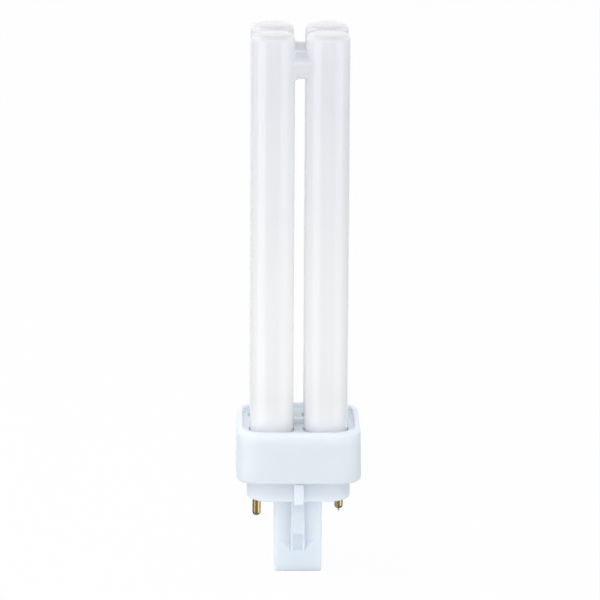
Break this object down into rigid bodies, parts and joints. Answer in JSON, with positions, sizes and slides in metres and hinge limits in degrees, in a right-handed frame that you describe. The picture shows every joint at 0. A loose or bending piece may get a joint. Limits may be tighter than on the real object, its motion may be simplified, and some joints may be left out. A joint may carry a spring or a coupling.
{
  "type": "compact fluorescent lamp",
  "caption": "Plug-in discharge lamp: upright white glass limbs joined by bridges, in a square moulded cap with contact pins and a hollow starter post.",
  "frame": {"origin": "middle of the flat end of the plug post, on which the lamp stands", "axes": "+Z along the lamp's axis from the plug post to the tube ends; the contact pins lie to the left and right along X; -Y is the front, the side that faces the picture"},
  "size_m": [0.0346, 0.0346, 0.153],
  "materials": {
    "coated_glass": "opaque white coating behind smooth glass",
    "cap_plastic": "satin",
    "pin_brass": "turned, slightly dull",
    "cement": "rough",
    "starter_glass": "clear",
    "capacitor_case": "satin",
    "lead_wire": "drawn wire",
    "splice_metal": "tinned",
    "sleeving": "woven, matt"
  },
  "bodies": {
    "root": {"discharge_tube": "coated_glass", "tube_holder": "cap_plastic", "plug_cap": "cap_plastic", "basing_cement": "cement", "contact_pin_left": "pin_brass", "contact_pin_right": "pin_brass", "glow_starter": "starter_glass", "starter_lead_left": "lead_wire", "starter_lead_right": "lead_wire", "suppression_capacitor": "capacitor_case", "capacitor_lead_left": "lead_wire", "capacitor_lead_right": "lead_wire", "splice_left": "splice_metal", "splice_right": "splice_metal", "front_lead_to_pin": "lead_wire", "front_lead_to_starter": "lead_wire", "back_lead_to_pin": "lead_wire", "back_lead_to_starter": "lead_wire", "sleeve_on_long_lead": "sleeving", "sleeve_on_short_lead": "sleeving"}
  },
  "joints": []
}
